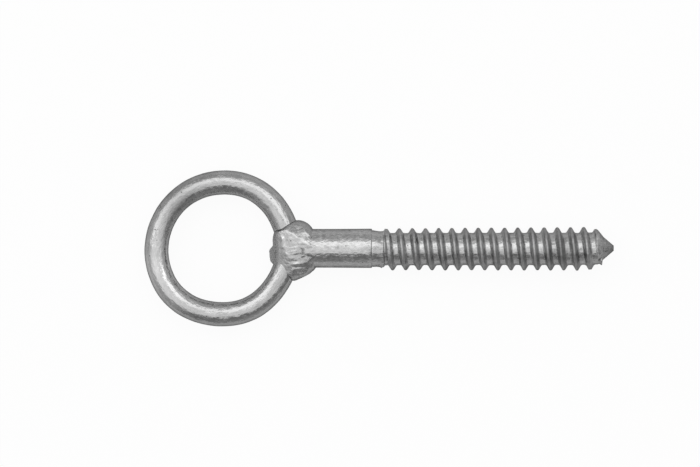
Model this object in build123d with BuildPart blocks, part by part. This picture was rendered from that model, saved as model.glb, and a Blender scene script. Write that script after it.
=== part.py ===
"""Welded screw eye: a ring of bent round rod, welded to the end of a lag-threaded shank.

Millimetres and degrees. The origin is the centre of the eye, +X runs down the shank to its point, and
the ring lies in the XY plane, so +Z is the axis of the eye.
"""

import os
from math import atan, ceil, degrees, radians, tan

from build123d import *

# Ring
rod_diameter = 7.8
eye_diameter = 34.8  # clear hole
seam_gap = 2.0  # between the two cut ends of the rod
seam_angle = -6.5  # the middle of that gap, from the shank's axis

# Shank, neck and point
shank_diameter = 12.6
shank_length = 22.4  # from the end face beside the ring to the shoulder
neck_diameter = 11.6
neck_length = 3.0
root_gap = 0.6  # between the ring and the shank's end face
point_flat_diameter = 1.8
point_half_angle = 41.0

# Thread: rolled, right-hand, single start, six turns to the inch
pitch = 25.4 / 6
thread_length = 74.8  # from the neck to the flat of the point
root_diameter = 10.4
crest_diameter_at_neck = 13.6
crest_diameter_at_point = 14.0
crest_land = 0.8
flank_angle = 33.0  # of each flank, from square to the axis
first_crest = 1.5  # from the end of the neck to the first crest on the +Y side
run_in = 4.2  # past the neck, where the crest has risen to its full height
run_out = 1.2  # past the neck, where the core has narrowed to the root
ridge_bed = 0.5  # how deep the foot of the ridge is bedded in the core

# Weld
weld_leg_on_shank = 4.3  # past the outside of the ring
weld_leg_on_ring = 2.9  # past each side of the shank
weld_cover_on_shank = 0.6  # thickness above and below the shank's end
weld_cover_on_rod = 1.8  # thickness above and below the rod
weld_toe = 0.25  # thickness of the bead's edge on the shank
weld_width_on_rod = 15.0  # across the bead, over the middle of the rod
weld_width_inside = 10.5  # across the bead, at the inside of the ring
weld_height_inside = 6.8
bump_rise = 2.2  # weld metal that has run through and stands inside the ring
bump_width = 5.0
bump_height = 3.6
bump_round = 1.2

# Worked out from the above
rod_radius = rod_diameter / 2
eye_radius = eye_diameter / 2
ring_radius = eye_radius + rod_radius  # to the middle of the rod
ring_outer_radius = eye_radius + rod_diameter
shank_radius = shank_diameter / 2
neck_radius = neck_diameter / 2
root_radius = root_diameter / 2
first_crest_radius = crest_diameter_at_neck / 2
last_crest_radius = crest_diameter_at_point / 2
flat_radius = point_flat_diameter / 2

shank_start = ring_outer_radius + root_gap
shoulder = shank_start + shank_length
neck_end = shoulder + neck_length
point_end = neck_end + thread_length


def turned(*profile, mode=Mode.ADD):
    """Turns a half profile about the shank's axis. Its points are (along X, out from the axis)."""
    with BuildSketch(Plane.XY) as half:
        with BuildLine():
            Polyline(*profile, close=True)
        make_face()
    revolve(half.sketch, axis=Axis.X, mode=mode)


# Ring: a rod bent round to an open C, whose cut ends face each other beside the shank
seam_half_angle = degrees(seam_gap / 2 / ring_radius)

with BuildPart() as eye_ring:
    with BuildSketch(Plane.XZ.rotated((0, 0, seam_angle + seam_half_angle))):
        with Locations((ring_radius, 0)):
            Circle(rod_radius)
    revolve(axis=Axis.Z, revolution_arc=360 - 2 * seam_half_angle)
eye_ring.part.label = "eye_ring"


# Thread: a ridge swept along a slightly opening helix, round a core. The helix starts above the axis and
# turns towards -Y, so a crest comes to the +Y side three quarters of a turn after the start.
turns_before_crest = ceil((neck_length + first_crest) / pitch) + 0.75
helix_start = neck_end + first_crest - turns_before_crest * pitch
helix_length = point_end - helix_start
crest_opening = degrees(atan((last_crest_radius - first_crest_radius) / thread_length))
ridge_foot = root_radius - ridge_bed
half_land = crest_land / 2
half_foot = half_land + (first_crest_radius - ridge_foot) * tan(radians(flank_angle))

# The two turning cuts reach a pitch clear of the crests and of the swept ends
lathe_reach = last_crest_radius + pitch
lathe_start = helix_start - pitch
lathe_end = point_end + 2 * pitch
rise_length = (neck_length + run_in) * (lathe_reach - root_radius) / (first_crest_radius - root_radius)
point_length = (lathe_reach - flat_radius) / tan(radians(point_half_angle))

with BuildPart() as thread:
    with BuildLine() as helix:
        Helix(
            pitch, helix_length, first_crest_radius, (helix_start, 0, 0), (1, 0, 0), crest_opening
        )
    with BuildSketch(Plane.XZ):
        with BuildLine():
            Polyline(
                (helix_start - half_foot, ridge_foot),
                (helix_start + half_foot, ridge_foot),
                (helix_start + half_land, first_crest_radius),
                (helix_start - half_land, first_crest_radius),
                close=True,
            )
        make_face()
    sweep(path=helix.line, is_frenet=True)
    with BuildSketch(Plane.YZ.offset(helix_start)):
        Circle(root_radius)
    extrude(amount=helix_length + pitch)
    # The crest rises out of the neck along a cone
    turned(
        (lathe_start, 0),
        (shoulder, 0),
        (shoulder, root_radius),
        (shoulder + rise_length, lathe_reach),
        (lathe_start, lathe_reach),
        mode=Mode.SUBTRACT,
    )
    # The blunt point
    turned(
        (point_end - point_length, lathe_reach),
        (point_end, flat_radius),
        (point_end, 0),
        (lathe_end, 0),
        (lathe_end, lathe_reach),
        mode=Mode.SUBTRACT,
    )


# Shank: the plain bar with its shoulder and neck, which runs down into the thread's core
with BuildPart() as threaded_shank:
    turned(
        (shank_start, 0),
        (shank_start, shank_radius),
        (shoulder, shank_radius),
        (shoulder, neck_radius),
        (neck_end, neck_radius),
        (neck_end + run_out, root_radius),
        (neck_end + run_out, 0),
    )
    add(thread.part)
threaded_shank.part.label = "threaded_shank"


# Weld: a bead lofted over the joint, with the rod and the shank taken out of it. Its inner end leans to
# the seam between the rod's ends, where the metal has run through to the inside of the ring.
bump_end = eye_radius - bump_rise
bead_end = ring_outer_radius + weld_leg_on_shank
seam_slope = tan(radians(seam_angle))
bead_sections = [
    # along X, middle in Y, width in Y, height in Z
    (bump_end, bump_end * seam_slope, bump_width, bump_height),
    (eye_radius, eye_radius * seam_slope, weld_width_inside, weld_height_inside),
    (ring_radius, 0, weld_width_on_rod, rod_diameter + 2 * weld_cover_on_rod),
    (ring_outer_radius, 0, shank_diameter + 2 * weld_leg_on_ring, shank_diameter + 2 * weld_cover_on_shank),
    (bead_end, 0, shank_diameter + 2 * weld_toe, shank_diameter + 2 * weld_toe),
]

with BuildPart() as weld_bead:
    for along, middle, width, height in bead_sections:
        with BuildSketch(Plane.YZ.offset(along)):
            with Locations((middle, 0)):
                Ellipse(width / 2, height / 2)
    loft()
    fillet(weld_bead.faces().sort_by(Axis.X)[0].edges(), radius=bump_round)
    add(eye_ring.part, mode=Mode.SUBTRACT)
    with BuildSketch(Plane.YZ.offset(shank_start)):
        Circle(shank_radius)
    extrude(amount=shank_length, mode=Mode.SUBTRACT)
weld_bead.part.label = "weld_bead"


os.makedirs("parts", exist_ok=True)
for piece in (eye_ring, threaded_shank, weld_bead):
    export_step(piece.part, f"parts/{piece.part.label}.step")
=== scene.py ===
# %% [markdown]
# # A welded screw eye with a hot-dip zinc finish
# The hardware is a round rod bent into an eye, welded to a coarse screw for timber, and
# dipped in molten zinc. The solids say where everything is and how big it is. Here each
# solid gets a skin with the small unevenness of forged, welded and dipped steel.
# The solids could be shown as they are with a new material, but their arcs are perfect,
# and it is the unevenness that makes a reader believe in the metal.

# %% Load the frame and measure it
import math

import bmesh
import bpy
from mathutils import Matrix, Vector, noise


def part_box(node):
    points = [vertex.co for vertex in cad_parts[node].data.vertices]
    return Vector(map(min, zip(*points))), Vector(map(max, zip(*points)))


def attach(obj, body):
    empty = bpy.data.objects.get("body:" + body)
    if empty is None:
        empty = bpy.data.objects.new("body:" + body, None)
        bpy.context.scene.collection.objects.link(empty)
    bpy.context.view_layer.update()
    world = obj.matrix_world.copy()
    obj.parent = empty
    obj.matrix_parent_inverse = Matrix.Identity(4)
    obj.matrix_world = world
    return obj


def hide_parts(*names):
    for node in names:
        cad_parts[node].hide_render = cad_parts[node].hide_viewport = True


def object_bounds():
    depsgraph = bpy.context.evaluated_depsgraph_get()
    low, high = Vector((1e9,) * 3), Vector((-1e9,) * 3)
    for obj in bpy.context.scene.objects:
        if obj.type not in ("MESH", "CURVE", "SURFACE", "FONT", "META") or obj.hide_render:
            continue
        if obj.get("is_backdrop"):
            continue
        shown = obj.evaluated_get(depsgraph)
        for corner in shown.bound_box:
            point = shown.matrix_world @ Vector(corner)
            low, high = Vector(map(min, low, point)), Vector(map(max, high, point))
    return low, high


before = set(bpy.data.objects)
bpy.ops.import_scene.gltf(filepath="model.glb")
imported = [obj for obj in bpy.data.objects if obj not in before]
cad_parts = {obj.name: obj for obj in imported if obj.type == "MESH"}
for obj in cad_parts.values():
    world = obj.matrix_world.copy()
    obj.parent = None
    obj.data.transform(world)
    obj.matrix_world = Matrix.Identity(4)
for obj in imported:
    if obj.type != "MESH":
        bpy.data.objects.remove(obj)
cad_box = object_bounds()
mm = 0.001

ring_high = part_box("eye_ring")[1]
shank_low, shank_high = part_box("threaded_shank")
weld_low, weld_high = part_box("weld_bead")
rod_radius = ring_high.z
eye_mid_radius = ring_high.y - rod_radius
print("eye mid radius, rod radius:", round(eye_mid_radius / mm, 2), round(rod_radius / mm, 2))
print("screw from", round(shank_low.x / mm, 1), "to", round(shank_high.x / mm, 1), "mm")

# %% [markdown]
# Every piece ends in the same few steps: doubled points are merged, the faces are turned
# outwards, and the finished mesh takes the place of its solid. One helper does that.

# %% Turn a bmesh into a finished piece
def finish_piece(bm, name, solid, merge=0.004 * mm):
    """Merges, turns the faces outwards and puts the mesh in the place of its solid."""
    bmesh.ops.remove_doubles(bm, verts=bm.verts, dist=merge)
    bmesh.ops.recalc_face_normals(bm, faces=bm.faces)
    open_edges = sum(len(edge.link_faces) != 2 for edge in bm.edges)
    mesh = bpy.data.meshes.new(name)
    bm.to_mesh(mesh)
    bm.free()
    mesh.polygons.foreach_set("use_smooth", [True] * len(mesh.polygons))
    piece = bpy.data.objects.new(name, mesh)
    bpy.context.scene.collection.objects.link(piece)
    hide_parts(solid)
    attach(piece, "root")
    print(name, "faces", len(mesh.polygons), "open edges", open_edges)
    return piece

# %% [markdown]
# ## The eye
# The eye is a round rod bent on a former until its ends meet at the shank. A torus would
# do for a perfect ring. A circle spun round the eye's axis gives the same torus with
# points that can be moved after, so the bending can leave its mark: the loop is a
# little oval, and the rod is a little thicker where it was squeezed.

# %% Bend the rod into the eye
points_round_rod, steps_round_eye = 56, 336
ring = bmesh.new()
bmesh.ops.create_circle(ring, segments=points_round_rod, radius=rod_radius)
bmesh.ops.rotate(ring, verts=ring.verts, matrix=Matrix.Rotation(math.pi / 2, 3, "X"))
bmesh.ops.translate(ring, verts=ring.verts, vec=(eye_mid_radius, 0, 0))
bmesh.ops.spin(
    ring, geom=ring.verts[:] + ring.edges[:], cent=(0, 0, 0), axis=(0, 0, 1),
    angle=2 * math.pi, steps=steps_round_eye, use_merge=True,
)
print("torus points", len(ring.verts))

# %% [markdown]
# The oval is a sum of slow waves round the loop. Each is how often it comes in a round,
# its size in millimetres and the direction in degrees in which it pushes out most, and
# wave 0 is an even growth. The rod's thickness has waves of its own. The zinc that froze
# on the rod adds low lumps, from smooth noise read at each point. Along Y the loop is kept a
# hundredth of a millimetre inside the solid's box.

# %% Leave the marks of bending and dipping
loop_waves = (
    (0, 0.031, 0), (1, 0.069, -80), (2, 0.284, 91), (3, 0.028, -102), (4, 0.051, 141),
    (5, 0.074, 15), (6, 0.061, -16),
)
rod_waves = ((1, 0.057, -21), (2, 0.041, 75), (4, 0.019, 63), (5, 0.018, 106))

def wave_sum(waves, turn):
    """The waves' push in metres at an angle round the loop."""
    return mm * sum(size * math.cos(n * turn - math.radians(at)) for n, size, at in waves)

def lumps(point, size, height):
    """Smooth lumps about that many millimetres across and that high."""
    return height * mm * noise.noise(point / (size * mm))

furthest_y = ring_high.y - 0.01 * mm
for point in ring.verts:
    turn = math.atan2(point.co.y, point.co.x)
    outward = Vector((math.cos(turn), math.sin(turn), 0))
    section = point.co - outward * eye_mid_radius
    thicker = wave_sum(rod_waves, turn) + lumps(point.co, 6, 0.06) + lumps(point.co, 2.2, 0.03)
    section += section.normalized() * thicker
    point.co = outward * (eye_mid_radius + wave_sum(loop_waves, turn)) + section
for point in ring.verts:
    point.co.y = max(-furthest_y, min(furthest_y, point.co.y))
print("eye from", round(min(v.co.y for v in ring.verts) / mm, 2), "mm")
ring_rod = finish_piece(ring, "ring_rod", "eye_ring")

# %% [markdown]
# The rod was drawn through a die before it was bent, so its fine streaks follow the
# bend. Straight coordinates can't follow a bend. Each point is given a place on the
# unrolled rod, how far along and where round it, and the zinc's streaks read that.
# The place where the count starts again lies inside the weld.

# %% Unroll the rod for its streaks
def unrolled(co):
    """How far a point lies along the rod, out from its middle and up, in metres."""
    turn = math.atan2(co.y, co.x) % (2 * math.pi)
    outward = math.hypot(co.x, co.y) - eye_mid_radius
    return (turn * eye_mid_radius, outward, co.z)

rod_run = ring_rod.data.attributes.new("rod_run", "FLOAT_VECTOR", "POINT")
places = [c for v in ring_rod.data.vertices for c in unrolled(v.co)]
rod_run.data.foreach_set("vector", places)
print("unrolled rod", round(max(places) / mm, 1), "mm")

# %% [markdown]
# ## The screw
# A coarse thread for timber is rolled into the bar. Its profile is one wide root and one
# rounded crest. Drawing one pitch of it and spinning that round the bar, with a small
# step forward at each turn of the spin, gives the real helix. Stacked rings would look
# the same in a small view, but their crests don't lean.

# %% Draw one pitch of the thread
pitch = 25.4 / 6 * mm
neck_end = 51.2 * mm
root_radius = 5.17 * mm
crest_radius = 6.76 * mm
first_crest = neck_end + 1.62 * mm
crest_half, foot_half = 0.31 * mm, 1.30 * mm
foot_round, crest_round = 0.42 * mm, 0.29 * mm
spare_turns = 2

thread = bmesh.new()
outline = [
    (-pitch / 2, root_radius),
    (-foot_half, root_radius),
    (-crest_half, crest_radius),
    (crest_half, crest_radius),
    (foot_half, root_radius),
    (pitch / 2, root_radius),
]
start_x = first_crest - spare_turns * pitch
corners = [thread.verts.new((start_x + x, r, 0)) for x, r in outline]
for a, b in zip(corners, corners[1:]):
    thread.edges.new((a, b))
print("pitch", round(pitch / mm, 3), "mm, corners", len(corners))

# %% Round the crest and the foot of the flanks
feet, crest_corners = (corners[1], corners[4]), (corners[2], corners[3])
for pair, rounding in ((feet, foot_round), (crest_corners, crest_round)):
    bmesh.ops.bevel(
        thread, geom=pair, offset=rounding, offset_type="OFFSET", segments=4,
        profile=0.5, affect="VERTICES", material=-1,
    )
bmesh.ops.subdivide_edges(
    thread, edges=[e for e in thread.edges if e.calc_length() > 0.3 * mm], cuts=3
)
print("profile points", len(thread.verts))

# %% [markdown]
# One turn is enough to spin. Each further turn is a copy moved on by one pitch, and the
# copies join when doubled points are merged. Spinning all the turns at once gives the
# same mesh, but each step of a spin looks through the whole mesh, so it takes a minute.

# %% Spin one turn and repeat it along the bar
steps_a_turn = 80
turns = 21
bmesh.ops.spin(
    thread, geom=thread.verts[:] + thread.edges[:], cent=(0, 0, 0), axis=(1, 0, 0),
    dvec=(pitch / steps_a_turn, 0, 0), angle=2 * math.pi, steps=steps_a_turn,
)
one_turn = thread.verts[:] + thread.edges[:] + thread.faces[:]
for n in range(1, turns):
    copied = bmesh.ops.duplicate(thread, geom=one_turn)["geom"]
    points = [g for g in copied if isinstance(g, bmesh.types.BMVert)]
    bmesh.ops.translate(thread, verts=points, vec=(n * pitch, 0, 0))
bmesh.ops.remove_doubles(thread, verts=thread.verts, dist=0.004 * mm)
print("thread faces", len(thread.faces))

# %% [markdown]
# The spun thread is longer than the bar, so both its ends are cut square. The small
# flat at the tip is closed later.

# %% Cut the ends square
thread_start = neck_end - 0.21 * mm
point_end = shank_high.x
flat_end = point_end - 0.05 * mm
for x, side in ((thread_start, -1), (flat_end, 1)):
    bmesh.ops.bisect_plane(
        thread, geom=thread.verts[:] + thread.edges[:] + thread.faces[:], dist=1e-7,
        plane_co=(x, 0, 0), plane_no=(side, 0, 0), clear_outer=True,
    )
print("thread from", round(thread_start / mm, 2), "to", round(point_end / mm, 2), "mm")

# %% [markdown]
# The first crest rises steeply out of the neck, and the last one sinks into the cone of
# the point, so each point of the thread is kept between a floor and a limit that depend
# on where it is along the bar. Two bits of metal stay under the bar where the die let
# go: a scrap at the neck and a torn lip at the cone. A boolean with a cone would cut the
# same shape, but it leaves slivers on a helix.
# The bar wasn't held quite true while it was rolled, so the thread lies a little to the
# -Y side of the shank's axis, and its crests grow towards the point, where it comes back.

# %% Say where the thread changes
neck_radius = 5.79 * mm
neck_drop = 0.29 * mm
crest_growth = 0.26 * mm
flat_radius = 0.80 * mm
cone_slope = 0.85

# Places along the bar, in mm from the middle of the eye, and stretches as from and to.
floor_falls = (51.95, 52.6)
first_rise, full_rise = (51.85, 52.45), (53.2, 56.5)
worn_turn_starts = (117.0, 117.6)
last_turn_starts = 118.9
shoulder_fades = (121.0, 123.0)
lip_grows, lip_ends = (121.3, 122.1), (122.2, 122.6)
rough_start, rough_end = (51.0, 51.7), (121.5, 123)
ragged_until = (53, 56)
tip_shifts = (117, 122)
scrap_middle, scrap_flank = 51.35, (0.1, 0.6)

# How far the metal stands out there, in mm. The whole radius is stated for a crest and
# for the lip, and what it adds or takes away for the rest. The tip is shifted to +Y.
first_step, full_step = 0.72, 0.5
tallest_crest, wear_depth = 7.2, 0.62
last_crest, last_crest_lean = 6.22, 0.12
shoulder_height = 0.70
lip_radius, lip_growth = 5.0, 0.45
scrap_height = 0.24
tip_shift = 0.20
print("cone from", shoulder_fades[0], "to", round(point_end / mm, 1), "mm")

# %% Run the crests out of the neck and into the point
def between(value, start, end):
    """0 before start, 1 after end, and smooth between them."""
    t = max(0.0, min(1.0, (value - start) / (end - start)))
    return t * t * (3 - 2 * t)

def thread_floor(x):
    """The smallest radius at x: the neck's, and then the root's."""
    return neck_radius + (root_radius - neck_radius) * between(x / mm, *floor_falls)

def thread_limit(x, under):
    """The largest radius at x; under is 1 on the bar's -Y side and -1 on its +Y side."""
    x_mm = x / mm
    scrap = scrap_height * mm * between(under, 0.75, 0.98)
    scrap *= 1 - between(abs(x_mm - scrap_middle), *scrap_flank)
    rise = between(x_mm, *first_rise) * first_step + between(x_mm, *full_rise) * full_step
    wear = wear_depth * between(x_mm, *worn_turn_starts) * between(under, 0.0, 0.6)
    last = last_crest * mm if x_mm > last_turn_starts else (tallest_crest - wear) * mm
    last += last_crest_lean * mm * between(under, -0.6, 0.4)
    cone = flat_radius + (point_end - x) * cone_slope
    shoulder = shoulder_height * mm * (1 - between(x_mm, *shoulder_fades))
    cone += shoulder * between(-under, 0.0, 0.8)
    lip = (lip_radius + lip_growth * between(x_mm, *lip_grows)) * mm
    lip *= between(under, 0.35, 0.9)
    lip *= 1 - between(x_mm, *lip_ends)
    return min(neck_radius + scrap + rise * mm, last, max(cone, lip))

for point in thread.verts:
    x = point.co.x
    along = max(0.0, (x - neck_end) / (point_end - neck_end))
    arm = Vector((0, point.co.y, point.co.z))
    radius, way = arm.length, arm.normalized()
    crest_share = (radius - root_radius) / (crest_radius - root_radius)
    radius += crest_growth * along * crest_share
    radius = min(max(radius, thread_floor(x)), thread_limit(x, -way.y))
    unevenness = lumps(point.co, 1.8, 0.10) + lumps(point.co, 5, 0.06)
    unevenness += lumps(point.co, 0.9, 0.12) * (1 - between(x / mm, *ragged_until))
    radius += unevenness * between(x / mm, *rough_start) * (1 - between(x / mm, *rough_end))
    aside = neck_drop * (1 - 0.5 * along)
    aside -= tip_shift * mm * between(x / mm, *tip_shifts)
    point.co = Vector((x, 0, 0)) + way * radius - Vector((0, aside, 0))
print("crest radius", round(crest_radius / mm, 2), "and up to", round(crest_growth / mm, 2), "more")

# %% Close the blunt point
def open_rim(x, near):
    """The thread's open edges that lie about at x."""
    return [e for e in thread.edges if e.is_boundary and abs(e.verts[0].co.x - x) < near]

rim = open_rim(flat_end, near=0.15 * mm)
bmesh.ops.holes_fill(thread, edges=rim, sides=0)
print("point rim edges", len(rim))

# %% [markdown]
# The plain part of the bar is a lathe shape: a circle pushed along the bar and scaled at
# each stop. The stops run back from the thread: the neck, the small groove where the
# thread die ended, the shoulder, and the shank down to its end inside the weld. Each is
# its place, its radius and how far it lies to the -Y side. A clean circle joins the
# thread's cut rim with a bridge, because the rim's own points are too uneven to carry on.

# %% Turn the neck and the plain shank
stops = (
    (50.90, 5.79, 0.29), (50.60, 5.79, 0.27), (49.80, 5.79, 0.16), (48.90, 5.89, 0.10),
    (48.60, 5.93, 0.07), (48.44, 5.89, 0.06), (48.34, 5.90, 0.05), (48.26, 6.20, 0),
    (48.14, 6.31, 0), (47.6, 6.33, 0), (44.0, 6.30, 0), (40.0, 6.27, 0), (36.0, 6.24, 0),
    (32.0, 6.23, 0), (28.0, 6.25, 0), (25.9, 6.24, 0),
)
made = bmesh.ops.create_circle(thread, segments=96, radius=stops[0][1] * mm)
bmesh.ops.rotate(thread, verts=made["verts"], matrix=Matrix.Rotation(math.pi / 2, 3, "Y"))
bmesh.ops.translate(thread, verts=made["verts"], vec=(stops[0][0] * mm, -neck_drop, 0))
loop = list({e for v in made["verts"] for e in v.link_edges})
rim = open_rim(thread_start, near=0.02 * mm)
bmesh.ops.bridge_loops(thread, edges=rim + loop)
for (_, r0, drop0), (x1, r1, drop1) in zip(stops, stops[1:]):
    grown = bmesh.ops.extrude_edge_only(thread, edges=loop)["geom"]
    points = [g for g in grown if isinstance(g, bmesh.types.BMVert)]
    loop = [g for g in grown if isinstance(g, bmesh.types.BMEdge)]
    for point in points:
        y = (point.co.y + drop0 * mm) * r1 / r0 - drop1 * mm
        point.co = Vector((x1 * mm, y, point.co.z * r1 / r0))
bmesh.ops.holes_fill(thread, edges=loop, sides=0)
print("shank stops", len(stops), "rim edges", len(rim))

# %% Finish the screw
lag_shank = finish_piece(thread, "lag_shank", "threaded_shank")

# %% [markdown]
# Zinc drains off the crests, which wear dark, and lies thick and frosty on the flanks,
# which are duller than the roots. The flanks' paler tone is painted light that lifts the
# shade between the crests. Each point is marked with how high on the thread it is, from
# 0.1 in the root to about 1 on the crest, and the material reads the mark. The plain bar is marked
# 0.

# %% Mark the height on the thread
mean_drop = 0.2 * mm
thread_begins = 52 * mm
height_on_thread = lag_shank.data.attributes.new("height_on_thread", "FLOAT", "POINT")
marks = []
for vertex in lag_shank.data.vertices:
    radius = math.hypot(vertex.co.y + mean_drop, vertex.co.z)
    share = (radius - root_radius) / (crest_radius - root_radius)
    marks.append((0.1 + 0.9 * share) * (vertex.co.x > thread_begins))
height_on_thread.data.foreach_set("value", marks)
print("marks from", round(min(marks), 2), "to", round(max(marks), 2))

# %% [markdown]
# ## The weld
# The eye's ends and the shank are joined by a ball of weld that flowed over all three.
# It is built from a few large dabs: a collar round the shank, the ball itself, a run of
# metal over each end of the eye and each side of the shank, and a drip inside the eye.
# Sculpting would do, but not in a script. Each dab is a squashed ball that can be boxier
# than an ellipsoid.

# %% Lay the collar round the shank
weld = bmesh.new()

def lay_dab(centre, radii, tilt=0.0, square=2.0, stretch=1.0):
    """A squashed ball in mm, turned in plan by tilt degrees. With square above 2 it is
    boxier and below 2 more pointed, and stretch lengthens its -X half."""
    made = bmesh.ops.create_icosphere(weld, subdivisions=5, radius=1.0)
    for point in made["verts"]:
        point.co /= sum(abs(c) ** square for c in point.co) ** (1 / square)
        if point.co.x < 0:
            point.co.x *= stretch
    place = (
        Matrix.Translation(Vector(centre) * mm)
        @ Matrix.Rotation(math.radians(tilt), 4, "Z")
        @ Matrix.Diagonal((*[r * mm for r in radii], 1))
    )
    bmesh.ops.transform(weld, matrix=place, verts=made["verts"])

def cut_off(place, way):
    """Cuts off what lies beyond a plane and closes the cut."""
    bmesh.ops.bisect_plane(
        weld, geom=weld.verts[:] + weld.edges[:] + weld.faces[:], dist=1e-7,
        plane_co=Vector(place) * mm, plane_no=Vector(way).normalized(), clear_outer=True,
    )
    bmesh.ops.holes_fill(weld, edges=[e for e in weld.edges if e.is_boundary], sides=0)

collar_starts, collar_ends = 23.0, 30.2
lay_dab((24.5, -0.2, 0), (11, 6.85, 6.95))
cut_off((collar_ends, 0, 0), (1, 0, 0))
cut_off((collar_starts, 0, 0), (-1, 0, 0))
print("collar points", len(weld.verts))

# %% [markdown]
# The +Y end of the eye meets the weld along a straight edge, as if the rod had been
# pushed against it, so the dabs are cut there. The other cut trims the ball's -Y side.
# In turn the dabs are the ball, the run over the eye's +Y end, those at the shank's +Y
# and -Y sides, and the one over the eye's -Y end.

# %% Lay the ball and cut its sides
lay_dab((24.0, -0.4, 0), (6.6, 9.5, 6.75), square=2.4, stretch=1.16)
lay_dab((20.5, 2.6, 0), (4.2, 4.8, 5.6), square=2.3)
lay_dab((26.7, 2.3, 0), (3.9, 4.9, 6.6))
lay_dab((28.1, -4.6, 0), (2.3, 3.0, 4.4), square=2.4)
lay_dab((23.5, -7.3, 0), (2.5, 3.3, 4.3), tilt=-20)
cut_off((20.3, 7.3, 0), (-0.442, 0.897, 0))
cut_off((27.0, -8.80, 0), (0.45, -0.893, 0))
print("ball points", len(weld.verts))

# %% [markdown]
# Weld metal sags while it is soft, so the ball's faces aren't round: they fall away in
# nearly flat slopes to the eye and to its two ends. Each slope is a cut through a place,
# and its fall is how much the height changes with x and with y. The drip that hangs into
# the eye is laid before the steepest cut, so both share that slope. The first four go
# down into the eye, the next to the eye's -Y end, three to the weld's -Y edge, and two
# to its +Y edge.

# %% Slope the two faces
def slope_off(place, fall):
    """Cuts both faces to a plane through a place in mm that rises by fall along x and y."""
    x, y, z = place
    for side in (1, -1):
        cut_off((x, y, side * z), (-fall[0], -fall[1], side))

lay_dab((18.35, -2.15, 0), (3.85, 3.9, 5.0), square=1.6)
slopes = (
    ((18.1, 0, 3.9), (1.22, 0.10)), ((17.77, 0, 3.36), (0.85, 0.08)),
    ((18.5, 0, 3.9), (0.55, 0.08)), ((20.3, 0, 4.9), (0.30, 0)),
    ((19.3, -5, 3.8), (0.36, 0.26)), ((24, -5, 5.3), (0, 0.18)),
    ((24, -6.1, 5.15), (0, 0.51)), ((26, -4.4, 5.5), (-0.10, 0.40)),
    ((24, 4.8, 5.6), (0, -0.50)), ((27, 3.0, 6.0), (-0.25, -0.35)),
)
for place, fall in slopes:
    slope_off(place, fall)
print("slopes", len(slopes), "points", len(weld.verts))

# %% [markdown]
# The voxel remesh melts the dabs into one closed skin of small squares, and rounds of
# smoothing take off the steps that the voxels leave and fill the creases a little.

# %% Melt the dabs together
voxel = 0.15 * mm
smoothing_rounds = 20
heap = bpy.data.meshes.new("heap of dabs")
weld.to_mesh(heap)
weld.free()
heap_object = bpy.data.objects.new("heap of dabs", heap)
bpy.context.scene.collection.objects.link(heap_object)
melt = heap_object.modifiers.new("melt", "REMESH")
melt.mode = "VOXEL"
melt.voxel_size = voxel
melt.adaptivity = 0
solid = heap_object.evaluated_get(bpy.context.evaluated_depsgraph_get())
skin = bmesh.new()
skin.from_mesh(bpy.data.meshes.new_from_object(solid))
bpy.data.objects.remove(heap_object)
for _ in range(smoothing_rounds):
    bmesh.ops.smooth_vert(
        skin, verts=skin.verts, factor=0.5, use_axis_x=True, use_axis_y=True, use_axis_z=True
    )
print("melted points", len(skin.verts))

# %% [markdown]
# The last runs of weld are small beads that stand a little out of both faces. Each is a
# smooth bump given by its x and y, its half length and half width, how far it stands
# out, all in mm, and its tilt in degrees. Noise adds ripples a millimetre apart, fine
# grit and low lumps. Most of it stays on the two faces: the sides set smooth.

# %% Raise the last beads and leave ripples and grit
beads = (
    (21.0, 4.7, 1.4, 1.0, 0.10, 20), (19.5, 3.0, 0.6, 0.6, 0.22, -10),
    (19.6, 0.4, 0.9, 0.4, 0.20, 5), (24.8, 5.2, 2.8, 0.8, 0.08, 3),
    (24.6, 3.2, 3.2, 0.6, 0.08, 4), (27.3, 2.4, 0.5, 0.6, 0.16, 10),
    (23.4, 1.7, 2.2, 0.5, 0.07, -5), (23.2, 0.15, 2.0, 0.28, 0.07, 9),
    (23.4, -0.9, 1.7, 0.26, 0.08, 13), (23.2, -1.8, 1.5, 0.28, 0.08, 16),
    (28.4, -1.2, 0.5, 0.7, 0.16, -15), (27.6, 0.0, 0.5, 0.7, 0.12, 0),
    (26.0, 0.3, 0.7, 0.5, 0.05, 0), (26.3, -2.3, 0.9, 0.45, 0.12, 25),
    (22.4, -3.2, 1.2, 0.5, 0.08, 10), (24.2, -5.0, 1.6, 0.45, 0.26, 4),
    (24.9, -6.6, 0.9, 0.36, 0.24, 4), (28.6, -4.3, 0.8, 0.40, 0.22, -25),
    (21.0, -1.9, 0.8, 0.6, 0.10, -40), (25.4, 6.9, 1.6, 0.8, 0.08, -8),
)

def bead_height(x, y):
    """How far the beads stand out at a place in plan, all in mm."""
    height = 0.0
    for bead_x, bead_y, half_length, half_width, stand, tilt in beads:
        c, s = math.cos(math.radians(tilt)), math.sin(math.radians(tilt))
        dx, dy = x - bead_x, y - bead_y
        run, across = (dx * c + dy * s) / half_length, (dy * c - dx * s) / half_width
        height += stand * math.exp(-(run**2) - across**2)
    return height

ripple_size = (2.4 * mm, 0.9 * mm, 2 * mm)
grit_size = 0.7 * mm
ripple_height, grit_height = 0.055, 0.02
face_starts = (18.5, 21)
skin.normal_update()
for point in skin.verts:
    co, normal = point.co.copy(), point.normal.copy()
    ripple = noise.noise(Vector([c / size for c, size in zip(co, ripple_size)]))
    grit = noise.noise(co / grit_size)
    on_face = normal.z**2 * between(co.x / mm, *face_starts)
    point.co += normal * (ripple_height * ripple * on_face + grit_height * grit) * mm
    point.co += normal * (lumps(co, 3.4, 0.11) + lumps(co, 1.4, 0.055) * on_face)
    point.co.z += math.copysign(bead_height(co.x / mm, co.y / mm) * mm * normal.z**2, co.z)
    point.co.z = max(weld_low.z, min(weld_high.z, point.co.z))
print("beads", len(beads))
weld_skin = finish_piece(skin, "weld_skin", "weld_bead", merge=0.01 * mm)

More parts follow.
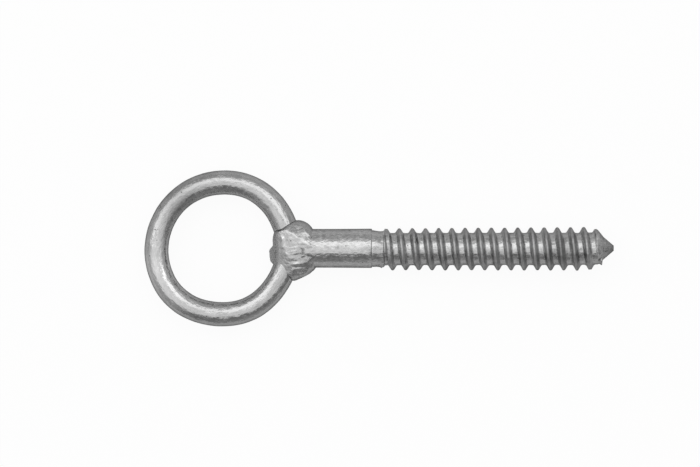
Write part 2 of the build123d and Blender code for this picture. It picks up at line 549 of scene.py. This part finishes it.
# %% [markdown]
# ## Zinc
# Hot-dip galvanised steel: the part is pickled and dipped in molten zinc at about 450
# degrees, and the zinc freezes in place. It is a bright but grainy metal, so it gives
# soft highlights that break up at the edges. It has metallic 1 and a mean roughness of
# about 0.2, or 0.4 where it lies thick and dull, and a metal keeps the default IOR. A
# grey specular tint keeps its edges from shining, as its grains shade each other there.
# A painted image would do for a flat part, but noise works all round without a seam.

# %% Colours and nodes
def linear(hex_colour):
    """An sRGB colour such as #9E9E9E as the linear RGBA that a shader takes."""
    parts = [int(hex_colour[i : i + 2], 16) / 255 for i in (1, 3, 5)]
    return (*[p / 12.92 if p <= 0.04045 else ((p + 0.055) / 1.055) ** 2.4 for p in parts], 1)

def add_node(tree, kind, settings=None, inputs=None):
    """Adds a node, sets it, and sets or links its inputs; a socket as a value is linked."""
    node = tree.nodes.new(kind)
    for name, value in (settings or {}).items():
        setattr(node, name, value)
    for name, value in (inputs or {}).items():
        if isinstance(value, bpy.types.NodeSocket):
            tree.links.new(value, node.inputs[name])
        else:
            node.inputs[name].default_value = value
    return node

zinc_dark, zinc_pale = linear("#9E9E9E"), linear("#AAAAAA")
zinc_edge, pit_ash = linear("#A0A0A0"), linear("#4A4A4A")
print("edge tint", round(zinc_edge[0], 3), "ash", round(pit_ash[0], 3))

# %% [markdown]
# The zinc's pattern has four scales. Patches of 5 mm differ a little in tone and gloss.
# Waves of 1.2 mm are where the zinc ran. Grains of 0.6 mm make the highlights sparkle. A
# few pits of 0.4 mm, about 2 mm apart, are where ash or air was trapped. Real frost in
# zinc is finer than 0.1 mm, which a picture of the whole part can't show, so the grain is
# drawn coarser, at the size that real dross has.

# %% Four scales of pattern
patch_size, wave_size, grain_size, pit_spacing = 5 * mm, 1.2 * mm, 0.6 * mm, 2.2 * mm

def zinc_patterns(tree, place, run_attribute, along):
    """Patches, waves, grain and pits. The waves and the grain follow the rod's run where an
    attribute gives it, and a small number in along draws them out that way."""
    run = place
    if run_attribute:
        run = add_node(
            tree, "ShaderNodeAttribute", {"attribute_name": run_attribute}
        ).outputs["Vector"]
    drawn = add_node(
        tree, "ShaderNodeMapping", inputs={"Vector": run, "Scale": along}
    ).outputs["Vector"]
    patches, waves, grain = [
        add_node(
            tree, "ShaderNodeTexNoise",
            inputs={"Vector": way, "Scale": 1 / size, "Detail": detail, "Roughness": crumble},
        ).outputs["Fac"]
        for way, size, detail, crumble in (
            (place, patch_size, 3.0, 0.6), (drawn, wave_size, 2.0, 0.55),
            (drawn, grain_size, 2.0, 0.6),
        )
    ]
    cells = add_node(
        tree, "ShaderNodeTexVoronoi", {"feature": "F1"},
        {"Vector": place, "Scale": 1 / pit_spacing, "Randomness": 1.0},
    ).outputs["Distance"]
    pits = add_node(
        tree, "ShaderNodeMapRange", {"interpolation_type": "SMOOTHSTEP"},
        {"Value": cells, "From Min": 0.05, "From Max": 0.14, "To Min": 0.8, "To Max": 0.0},
    ).outputs["Result"]
    return patches, waves, grain, pits

print("patches of", round(patch_size / mm, 1), "mm, grain of", round(grain_size / mm, 1), "mm")

# %% [markdown]
# Zinc doesn't freeze alike all over a part: whole areas come out a little duller. Each such spot
# fades out from a place on the piece. A spot above zero makes the zinc darker and rougher. A spot
# below zero makes it smoother and paints a highlight into it: its tone is paler, standing in for a
# brighter reflection there.

# %% Duller and shinier spots
# A spot's tone falls by this share of its value; below zero it rises instead, which is a painted
# highlight.
dull_darkens_painted_glint_pales, dull_roughens = 0.35, 0.2

def dull_and_painted_glint_spots(tree, place, spots):
    """How much the spots darken and roughen the zinc, and below zero how much paler and smoother
    they make it, a painted highlight; each is (x, y, z, reach in mm, dulling).
    """
    dull_and_painted_glint = 0.0
    for x, y, z, reach, spot_dull_and_painted_glint in spots:
        centred = add_node(
            tree, "ShaderNodeMapping", {"vector_type": "TEXTURE"},
            {"Vector": place, "Location": (x * mm, y * mm, z * mm), "Scale": [reach * mm] * 3},
        ).outputs["Vector"]
        spot = add_node(
            tree, "ShaderNodeTexGradient", {"gradient_type": "QUADRATIC_SPHERE"},
            {"Vector": centred},
        ).outputs["Fac"]
        dull_and_painted_glint = add_node(
            tree, "ShaderNodeMath", {"operation": "MULTIPLY_ADD"}, {0: spot, 1: spot_dull_and_painted_glint, 2: dull_and_painted_glint}
        ).outputs["Value"]
    return dull_and_painted_glint

print("a dullness of 1 darkens by", dull_darkens_painted_glint_pales, "and roughens by", dull_roughens)

# %% [markdown]
# The tone changes from patch to patch, and each grain is a little darker or paler than
# the next. On the thread the flanks are painted paler than the roots, painted light that
# lifts the shade between the crests, and the crests are dark where they are worn, which
# the waves break up. The pits hold dark ash. A noise seldom leaves the range from 0.3 to
# 0.7, so that is the range that is spread out.

# %% The tone of the zinc
usual_noise = {"From Min": 0.3, "From Max": 0.7}

def zinc_tone(tree, patterns, dull_and_painted_glint, height, bright, mottle):
    """The colour. bright scales its tone, and mottle is how far grains differ in tone."""
    patches, waves, grain, pits = patterns
    tone = add_node(
        tree, "ShaderNodeMapRange",
        inputs={"Value": patches, "To Min": 0.0, "To Max": 1.0, **usual_noise},
    ).outputs["Result"]
    colour = add_node(
        tree, "ShaderNodeMix", {"data_type": "RGBA"},
        {"Factor": tone, "A": zinc_dark, "B": zinc_pale},
    ).outputs["Result"]
    speck = add_node(
        tree, "ShaderNodeMapRange",
        inputs={
            "Value": grain, "To Min": bright - mottle, "To Max": bright + mottle, **usual_noise,
        },
    ).outputs["Result"]
    # The spots darken the tone, and where they are below zero they raise it: a painted highlight.
    clouded_and_painted_glint = add_node(
        tree, "ShaderNodeMath", {"operation": "MULTIPLY_ADD"},
        {0: dull_and_painted_glint, 1: -dull_darkens_painted_glint_pales, 2: speck},
    ).outputs["Value"]
    worn = add_node(
        tree, "ShaderNodeMath", {"operation": "MULTIPLY_ADD"}, {0: waves, 1: 0.7, 2: height}
    ).outputs["Value"]
    # Painted light: the flanks' tone is raised to lift the shade between the crests.
    paler_flank_painted_light = add_node(
        tree, "ShaderNodeMapRange", {"interpolation_type": "SMOOTHSTEP"},
        {"Value": height, "From Min": 0.08, "From Max": 0.35, "To Min": 1.0, "To Max": 1.15},
    ).outputs["Result"]
    darker_crest = add_node(
        tree, "ShaderNodeMapRange", {"interpolation_type": "SMOOTHSTEP"},
        {"Value": worn, "From Min": 0.95, "From Max": 1.35, "To Min": 1.0, "To Max": 0.68},
    ).outputs["Result"]
    thread_tone = add_node(
        tree, "ShaderNodeMath", {"operation": "MULTIPLY"}, {0: paler_flank_painted_light, 1: darker_crest}
    ).outputs["Value"]
    toned = add_node(
        tree, "ShaderNodeMath", {"operation": "MULTIPLY"}, {0: clouded_and_painted_glint, 1: thread_tone}
    ).outputs["Value"]
    specked = add_node(
        tree, "ShaderNodeVectorMath", {"operation": "SCALE"}, {0: colour, "Scale": toned}
    ).outputs["Vector"]
    return add_node(
        tree, "ShaderNodeMix", {"data_type": "RGBA"},
        {"Factor": pits, "A": specked, "B": pit_ash},
    ).outputs["Result"]

print("zinc from", round(zinc_dark[0], 3), "to", round(zinc_pale[0], 3))

# %% [markdown]
# The roughness changes from patch to patch, and much more from grain to grain, which is
# what breaks up the edges of the highlights. The flanks of the thread are rougher.

# %% The gloss of the zinc
grain_in_rough = 0.56
flank_rougher = 0.22

def zinc_roughness(tree, patterns, dull_and_painted_glint, height, rough, uneven):
    """The roughness: rough is its mean, and uneven is how far patches differ."""
    patches, _, grain, _ = patterns
    patch_rough = rough - grain_in_rough / 2
    frost = add_node(
        tree, "ShaderNodeMapRange",
        inputs={
            "Value": patches, "To Min": patch_rough - uneven, "To Max": patch_rough + uneven,
            **usual_noise,
        },
    ).outputs["Result"]
    sparkle = add_node(
        tree, "ShaderNodeMath", {"operation": "MULTIPLY_ADD"},
        {0: grain, 1: grain_in_rough, 2: frost},
    ).outputs["Value"]
    frosted = add_node(
        tree, "ShaderNodeMath", {"operation": "MULTIPLY_ADD"},
        {0: dull_and_painted_glint, 1: dull_roughens, 2: sparkle},
    ).outputs["Value"]
    flank = add_node(
        tree, "ShaderNodeMapRange", {"interpolation_type": "SMOOTHSTEP"},
        {"Value": height, "From Min": 0.0, "From Max": 0.35, "To Min": 0.0,
         "To Max": flank_rougher},
    ).outputs["Result"]
    return add_node(
        tree, "ShaderNodeMath", {"operation": "ADD"}, {0: frosted, 1: flank}
    ).outputs["Value"]

print("flanks rougher by", flank_rougher)

# %% [markdown]
# The relief is too fine to model, so three bumps tilt the light instead: the waves where
# the zinc ran, the grains that froze on them, and the pits, which go in.

# %% The relief of the zinc
grain_height, pit_depth = 0.038 * mm, 0.05 * mm

def zinc_relief(tree, patterns, wave_height):
    """The bumps of the waves, the grain and the pits, one on the other."""
    _, waves, grain, pits = patterns
    flowed = add_node(
        tree, "ShaderNodeBump",
        inputs={"Height": waves, "Distance": wave_height, "Strength": 1.0},
    ).outputs["Normal"]
    frozen = add_node(
        tree, "ShaderNodeBump",
        inputs={"Height": grain, "Distance": grain_height, "Strength": 1.0, "Normal": flowed},
    ).outputs["Normal"]
    return add_node(
        tree, "ShaderNodeBump", {"invert": True},
        {"Height": pits, "Distance": pit_depth, "Strength": 1.0, "Normal": frozen},
    ).outputs["Normal"]

print("grain", round(grain_height / mm, 3), "mm high, pits", round(pit_depth / mm, 3), "mm deep")

# %% [markdown]
# The three pieces were dipped together, but the zinc ran off each in its own way. On the
# rod and the bar it is drawn out lengthwise, on the bar the grains differ most in tone,
# and on the weld the waves are lowest. On the weld's last runs and on the left of the eye
# the spots are painted highlights: the zinc is paler there, and smoother. The spots are
# duller on the eye's far side, at the neck and near the point.

# %% Zinc, hot-dipped
def zinc(
    name, wave_height, rough, run_attribute=None, along=(1, 1, 1), bright=1.0, mottle=0.10,
    uneven=0.06, spots=(),
):
    """Frosty zinc. wave_height is in mm, and the rest is as in the functions above."""
    material = bpy.data.materials.new(name)
    material.use_nodes = True
    tree = material.node_tree
    tree.nodes.clear()
    place = add_node(tree, "ShaderNodeTexCoord").outputs["Object"]
    height = add_node(
        tree, "ShaderNodeAttribute", {"attribute_name": "height_on_thread"}
    ).outputs["Fac"]
    patterns = zinc_patterns(tree, place, run_attribute, along)
    dull_and_painted_glint = dull_and_painted_glint_spots(tree, place, spots)
    metal = add_node(
        tree, "ShaderNodeBsdfPrincipled",
        inputs={
            "Base Color": zinc_tone(tree, patterns, dull_and_painted_glint, height, bright, mottle),
            "Metallic": 1.0,
            "Roughness": zinc_roughness(tree, patterns, dull_and_painted_glint, height, rough, uneven),
            "Normal": zinc_relief(tree, patterns, wave_height * mm),
            "Specular Tint": zinc_edge,
        },
    )
    add_node(tree, "ShaderNodeOutputMaterial", inputs={"Surface": metal.outputs["BSDF"]})
    return material

# The rod's second spot is a painted highlight on the left of the eye.
zinc_on_rod = zinc(
    "zinc_on_rod", 0.12, 0.21, run_attribute="rod_run", along=(0.5, 1, 1), bright=0.98,
    spots=((-14, 16, 0, 25, 0.9), (-20, -6, 0, 22, -1.1)),
)
zinc_on_bar = zinc(
    "zinc_on_bar", 0.10, 0.19, along=(0.5, 1, 1), bright=1.04, mottle=0.22, uneven=0.12,
    spots=((50.8, 0, 6, 5, 0.7), (109.5, 0, 6, 10, 1.1), (127, 0, 0, 13, 1.8)),
)
# The weld's spots are painted highlights on its +Z face: paler and smoother zinc over the last
# beads.
zinc_on_weld = zinc(
    "zinc_on_weld", 0.07, 0.26, bright=0.95,
    spots=(
        (27.3, 2.4, 6, 1.4, -1.4), (28.4, -1.2, 6, 1.4, -1.5), (26.4, 0.6, 6, 1.1, -1.0),
        (20.0, 3.4, 5, 1.5, -1.0), (24.6, -5.0, 5, 1.4, -1.2),
    ),
)
for piece, material in (
    (ring_rod, zinc_on_rod), (lag_shank, zinc_on_bar), (weld_skin, zinc_on_weld)
):
    piece.data.materials.append(material)
print("materials", [m.name for m in (zinc_on_rod, zinc_on_bar, zinc_on_weld)])

# %% [markdown]
# ## Floor and light
# The part lies on a white table under softboxes, as small hardware is usually shown. The
# table is pale paint. Most of what the camera sees of it is an even white glow, and so is
# a little of what the metal shows, and the rest is paint that keeps the part's shadow.

# %% The white table
white_to_camera, white_in_metal = 0.94, 0.05
half_table = 4
table_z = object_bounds()[0].z
floor_bm = bmesh.new()
bmesh.ops.create_grid(floor_bm, x_segments=1, y_segments=1, size=half_table)
bmesh.ops.translate(floor_bm, verts=floor_bm.verts, vec=(0.05, 0, table_z))
floor_mesh = bpy.data.meshes.new("table")
floor_bm.to_mesh(floor_mesh)
floor_bm.free()
table = bpy.data.objects.new("table", floor_mesh)
bpy.context.scene.collection.objects.link(table)
table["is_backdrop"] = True

white = bpy.data.materials.new("white_table")
white.use_nodes = True
tree = white.node_tree
tree.nodes.clear()
path = add_node(tree, "ShaderNodeLightPath")
in_metal = add_node(
    tree, "ShaderNodeMath", {"operation": "MAXIMUM"},
    {0: path.outputs["Is Glossy Ray"], 1: path.outputs["Is Transmission Ray"]},
).outputs["Value"]
in_metal = add_node(
    tree, "ShaderNodeMath", {"operation": "MULTIPLY"}, {0: in_metal, 1: white_in_metal}
).outputs["Value"]
share = add_node(
    tree, "ShaderNodeMath", {"operation": "MULTIPLY_ADD"},
    {0: path.outputs["Is Camera Ray"], 1: white_to_camera, 2: in_metal},
)
paint = add_node(tree, "ShaderNodeBsdfDiffuse", inputs={"Color": linear("#D8D8D8")})
glow = add_node(
    tree, "ShaderNodeEmission", inputs={"Color": (1, 1, 1, 1), "Strength": 1.0}
)
both = add_node(tree, "ShaderNodeMixShader", inputs={"Fac": share.outputs["Value"]})
tree.links.new(paint.outputs["BSDF"], both.inputs[1])
tree.links.new(glow.outputs["Emission"], both.inputs[2])
add_node(tree, "ShaderNodeOutputMaterial", inputs={"Surface": both.outputs["Shader"]})
table.data.materials.append(white)
print("table at", round(table_z / mm, 2), "mm")

# %% [markdown]
# A metal shows what is round it, so the room is part of the look. Its far wall is pale,
# and its near side is darker, which draws the dark line under each highlight. The tone
# depends on how far a direction leans to the far side and a little to the left, so it
# changes along +Y with some -X.

# %% The room
to_far_side = (-0.35, 1, 0)
world = bpy.data.worlds.new("studio")
bpy.context.scene.world = world
world.use_nodes = True
tree = world.node_tree
tree.nodes.clear()
way = add_node(tree, "ShaderNodeTexCoord").outputs["Generated"]
lean = add_node(
    tree, "ShaderNodeVectorMath", {"operation": "DOT_PRODUCT"}, {0: way, 1: to_far_side}
).outputs["Value"]
walls = add_node(
    tree, "ShaderNodeMapRange",
    inputs={"Value": lean, "From Min": -1.0, "From Max": 1.0, "To Min": 0.0, "To Max": 1.0},
)
ramp = add_node(tree, "ShaderNodeValToRGB", inputs={"Fac": walls.outputs["Result"]})
tones = (
    (-1.0, 0.49), (-0.96, 0.43), (-0.88, 0.34), (-0.62, 0.31), (-0.54, 0.56), (-0.2, 0.65),
    (0.2, 0.65), (0.60, 0.72), (0.85, 0.73), (0.93, 0.69), (1.0, 0.62),
)
bands = ramp.color_ramp.elements
while len(bands) < len(tones):
    bands.new(0.5)
for band, (at, tone) in zip(bands, tones):
    band.position = (at + 1) / 2
    band.color = (tone, tone, tone, 1)
sky = add_node(
    tree, "ShaderNodeBackground", inputs={"Color": ramp.outputs["Color"], "Strength": 1.0}
)
add_node(tree, "ShaderNodeOutputWorld", inputs={"Surface": sky.outputs["Background"]})
print("wall tones", len(bands))

# %% [markdown]
# Two wide softboxes make the bright ceiling that the flat faces and the tops of the round
# parts show, and a third, on the left and nearer side, lifts the eye. Three strong ones
# hang lower, a little to the far side, and make the highlights there. The middle one is
# weaker, because the plain shank shines less than the eye and the thread. They are lamps
# and not a painted ceiling, so the part also casts a soft shadow.

# %% The softboxes
def hang_softbox(name, height, x_range, y_range, radiance):
    """A level lamp that hangs over the part; radiance 1 is as bright as white paper."""
    lamp = bpy.data.lights.new(name, "AREA")
    lamp.shape = "RECTANGLE"
    lamp.size = x_range[1] - x_range[0]
    lamp.size_y = y_range[1] - y_range[0]
    lamp.energy = radiance * math.pi * lamp.size * lamp.size_y
    box = bpy.data.objects.new(name, lamp)
    box.location = (sum(x_range) / 2, sum(y_range) / 2, height)
    bpy.context.scene.collection.objects.link(box)
    print(name, round(lamp.energy, 1), "W")

hang_softbox("wide_softbox", 1.02, (-2.8, 1.6), (-0.63, 1.50), 0.27)
hang_softbox("softbox", 1.00, (-1.4, 0.85), (-0.62, 0.95), 0.35)
hang_softbox("left_fill", 0.98, (-0.80, 0.10), (-0.50, 0.12), 0.20)
hang_softbox("bright_left", 0.60, (-0.75, -0.10), (0.10, 0.60), 1.05)
hang_softbox("bright_middle", 0.60, (-0.10, 0.12), (0.13, 0.48), 0.78)
hang_softbox("bright_right", 0.60, (0.12, 0.55), (0.10, 0.50), 1.05)

# %% [markdown]
# ## Camera
# The camera looks down on the table from 1.25 m with a long lens, so the ends of the screw
# don't lean away. It stands 2.1 degrees off the upright, to the side of the point.

# %% The camera
camera_data = bpy.data.cameras.new("camera")
camera_data.lens = 200
camera_data.sensor_width = 36
camera = bpy.data.objects.new("camera", camera_data)
view_width = 225.4 * mm
view_centre = Vector((41.2, 4.77, 0)) * mm
lean_angle = math.radians(2.1)
distance = view_width * camera_data.lens / camera_data.sensor_width
away = Vector((math.sin(lean_angle), 0, math.cos(lean_angle)))
camera.location = view_centre + away * distance
camera.rotation_euler = (0, lean_angle, 0)
bpy.context.scene.collection.objects.link(camera)
bpy.context.scene.camera = camera
camera_data.clip_start, camera_data.clip_end = 0.01, 20
bpy.context.scene.view_settings.view_transform = "Standard"
print("camera distance", round(distance, 3), "m")

# %% [markdown]
# The box round the skins is printed beside the box round the solids. The skins have to
# stay inside, because other parts are fitted to the solids.

# %% Print the sizes and finish
sizes = {"cad": [list(c) for c in cad_box], "visual": [list(c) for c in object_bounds()]}
for name, corners in sizes.items():
    print(name, [[round(v / mm, 2) for v in c] for c in corners])
